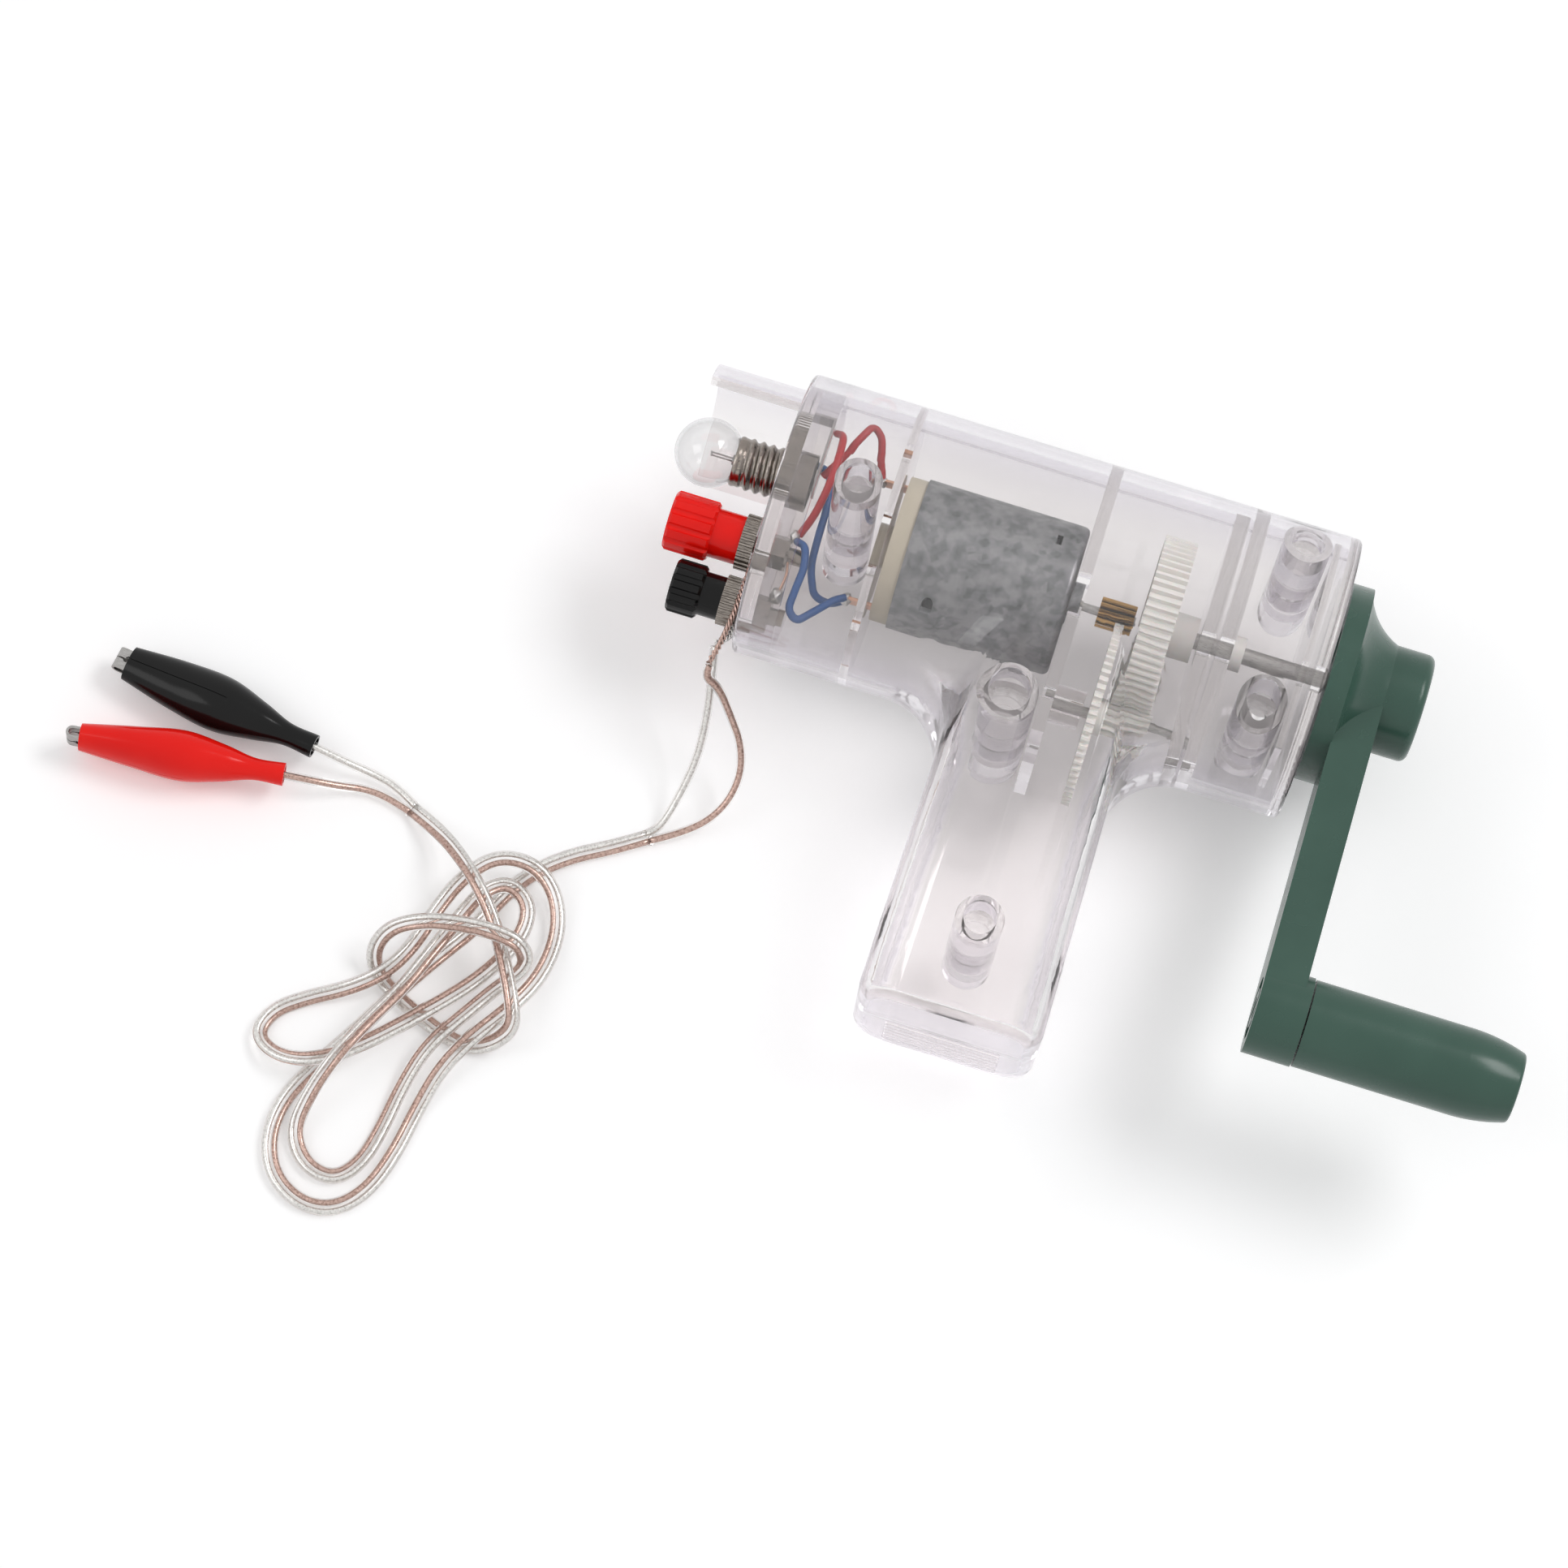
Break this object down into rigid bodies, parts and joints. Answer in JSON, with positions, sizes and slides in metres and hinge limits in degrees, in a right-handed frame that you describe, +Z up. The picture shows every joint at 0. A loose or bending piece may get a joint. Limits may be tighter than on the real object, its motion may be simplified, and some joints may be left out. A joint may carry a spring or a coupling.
{
  "type": "hand crank generator",
  "caption": "Clear pistol-grip hand crank generator lying on its side: geared motor, screw lamp under a hood, binding posts, and a knotted lead with alligator clips.",
  "frame": {"origin": "centre of the object's bounding box without the lead and its clips, on the table it lies on", "axes": "+X along the tube towards the crank and its knob, +Z up from the table across the tube, -Y roughly along the pistol grip, which leans 6.1 degrees down to the table"},
  "size_m": [0.2626, 0.169, 0.052],
  "materials": {
    "clear_plastic": "clear, polished, faint violet tint",
    "green_plastic": "semi-gloss moulded",
    "white_nylon": "satin nylon",
    "cream_plastic": "satin",
    "red_plastic": "gloss",
    "black_plastic": "gloss",
    "galvanised_steel": "zinc plated, cloudy",
    "bright_steel": "turned",
    "nickel": "nickel plated",
    "brass_metal": "cut teeth",
    "copper_metal": "bare copper",
    "magnet": "dull",
    "lamp_glass": "clear",
    "red_wire_pvc": "pvc",
    "blue_wire_pvc": "pvc",
    "clear_lead_silver": "clear pvc over tinned strands",
    "clear_lead_copper": "clear pvc over copper strands"
  },
  "bodies": {
    "housing": {"shell_left": "clear_plastic", "shell_right": "clear_plastic", "front_panel": "clear_plastic", "lamp_socket": "nickel", "lamp_contact": "bright_steel", "post_studs": "nickel", "post_knurled_nuts": "nickel", "post_hex_nuts": "nickel", "solder_tags": "nickel", "motor_can": "galvanised_steel", "motor_end_bell": "cream_plastic", "motor_magnets": "magnet", "motor_brushes": "magnet", "motor_terminals": "copper_metal", "motor_bushing": "brass_metal", "wire_red": "red_wire_pvc", "wire_red_loop": "red_wire_pvc", "wire_blue_inner": "blue_wire_pvc", "wire_blue_outer": "blue_wire_pvc", "link_wire": "copper_metal", "pigtail_red": "copper_metal", "pigtail_black": "nickel", "lead_red": "clear_lead_copper", "lead_black": "clear_lead_silver", "cord_pair": "clear_lead_copper", "clip_lead_red": "clear_lead_copper", "clip_lead_black": "clear_lead_silver", "clip_red_boot": "red_plastic", "clip_red_jaw": "bright_steel", "clip_red_pin": "bright_steel", "clip_red_spring": "bright_steel", "clip_black_boot": "black_plastic", "clip_black_jaw": "bright_steel", "clip_black_pin": "bright_steel", "clip_black_spring": "bright_steel"},
    "rotor": {"armature_core": "bright_steel", "armature_windings": "copper_metal", "commutator": "copper_metal", "motor_shaft": "bright_steel", "motor_pinion": "brass_metal"},
    "idler": {"idler_gear": "white_nylon", "idler_pinion": "white_nylon", "idler_shaft": "bright_steel"},
    "crank": {"crank_gear": "white_nylon", "crank_shaft": "bright_steel", "shaft_collar": "white_nylon", "crank_arm": "green_plastic", "crank_screw": "bright_steel", "knob_axle": "bright_steel"},
    "knob": {"crank_knob": "green_plastic"},
    "red_cap": {"post_cap_red": "red_plastic"},
    "black_cap": {"post_cap_black": "black_plastic"},
    "bulb": {"bulb_glass": "lamp_glass", "bulb_cap": "nickel", "bulb_filament": "bright_steel"},
    "red_lever": {"clip_red_lever": "bright_steel", "clip_red_flap": "red_plastic"},
    "black_lever": {"clip_black_lever": "bright_steel", "clip_black_flap": "black_plastic"}
  },
  "joints": [
    {"name": "crank_turn", "type": "hinge", "parent": "housing", "child": "crank", "pos_m": [0.04342, 0.02929, 0.026], "axis": [1, 0, 0], "continuous": true},
    {"name": "knob_spin", "type": "hinge", "parent": "crank", "child": "knob", "pos_m": [0.06742, -0.03818, 0.0352], "axis": [1, 0, 0], "continuous": true},
    {"name": "idler_turn", "type": "hinge", "parent": "housing", "child": "idler", "pos_m": [0.00343, 0.0104, 0.02397], "axis": [1, 0, 0], "continuous": true},
    {"name": "rotor_turn", "type": "hinge", "parent": "housing", "child": "rotor", "pos_m": [-0.02658, 0.02929, 0.026], "axis": [1, 0, 0], "continuous": true},
    {"name": "red_cap_unscrew", "type": "slide", "parent": "housing", "child": "red_cap", "axis": [-1, 0, 0], "range_m": [0, 0.004]},
    {"name": "black_cap_unscrew", "type": "slide", "parent": "housing", "child": "black_cap", "axis": [-1, 0, 0], "range_m": [0, 0.003]},
    {"name": "bulb_unscrew", "type": "slide", "parent": "housing", "child": "bulb", "axis": [-1, 0, 0], "range_m": [0, 0.012]},
    {"name": "red_clip_open", "type": "hinge", "parent": "housing", "child": "red_lever", "pos_m": [-0.15939, -0.04155, 0.00542], "axis": [-0.1253, 0.9921, 0], "range_deg": [0, 15], "stiffness_Nm_per_rad": 0.05, "springref_deg": -20.05},
    {"name": "black_clip_open", "type": "hinge", "parent": "housing", "child": "black_lever", "pos_m": [-0.15607, -0.02844, 0.0047], "axis": [0, 0, 1], "range_deg": [0, 15], "stiffness_Nm_per_rad": 0.05, "springref_deg": -20.05}
  ],
  "couplings": [
    {"joint": "idler_turn", "follows": "crank_turn", "ratio": -6.6},
    {"joint": "rotor_turn", "follows": "crank_turn", "ratio": 43.56}
  ]
}
